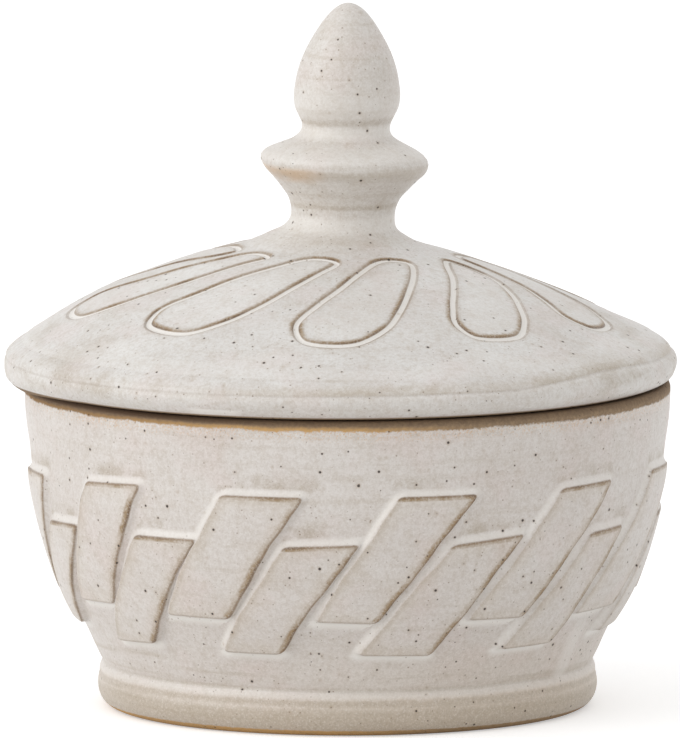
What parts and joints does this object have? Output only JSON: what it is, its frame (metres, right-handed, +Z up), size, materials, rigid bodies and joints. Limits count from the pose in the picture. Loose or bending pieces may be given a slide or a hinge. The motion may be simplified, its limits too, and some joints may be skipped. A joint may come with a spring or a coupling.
{
  "type": "storage jar",
  "caption": "Round stoneware storage jar on a ring foot, with a band of raised slanting panels, and a domed lid carved with leaning petals that lifts off by an acorn finial.",
  "frame": {"origin": "centre of the plane that the foot stands on, on the bowl's axis", "axes": "+Z up along the jar's axis, front towards -Y, +X to the right as seen from the front"},
  "size_m": [0.1406, 0.1406, 0.1472],
  "materials": {
    "glazed_stoneware": "satin off-white glaze with fine brown iron specks, breaking to brown on sharp edges, over tan stoneware that shows bare at the rim and under the foot"
  },
  "bodies": {
    "jar_body": {"jar_body": "glazed_stoneware"},
    "lid": {"lid": "glazed_stoneware"}
  },
  "joints": [
    {"name": "lid_lift", "type": "slide", "parent": "jar_body", "child": "lid", "axis": [0, 0, 1], "range_m": [0, 0.1]}
  ]
}
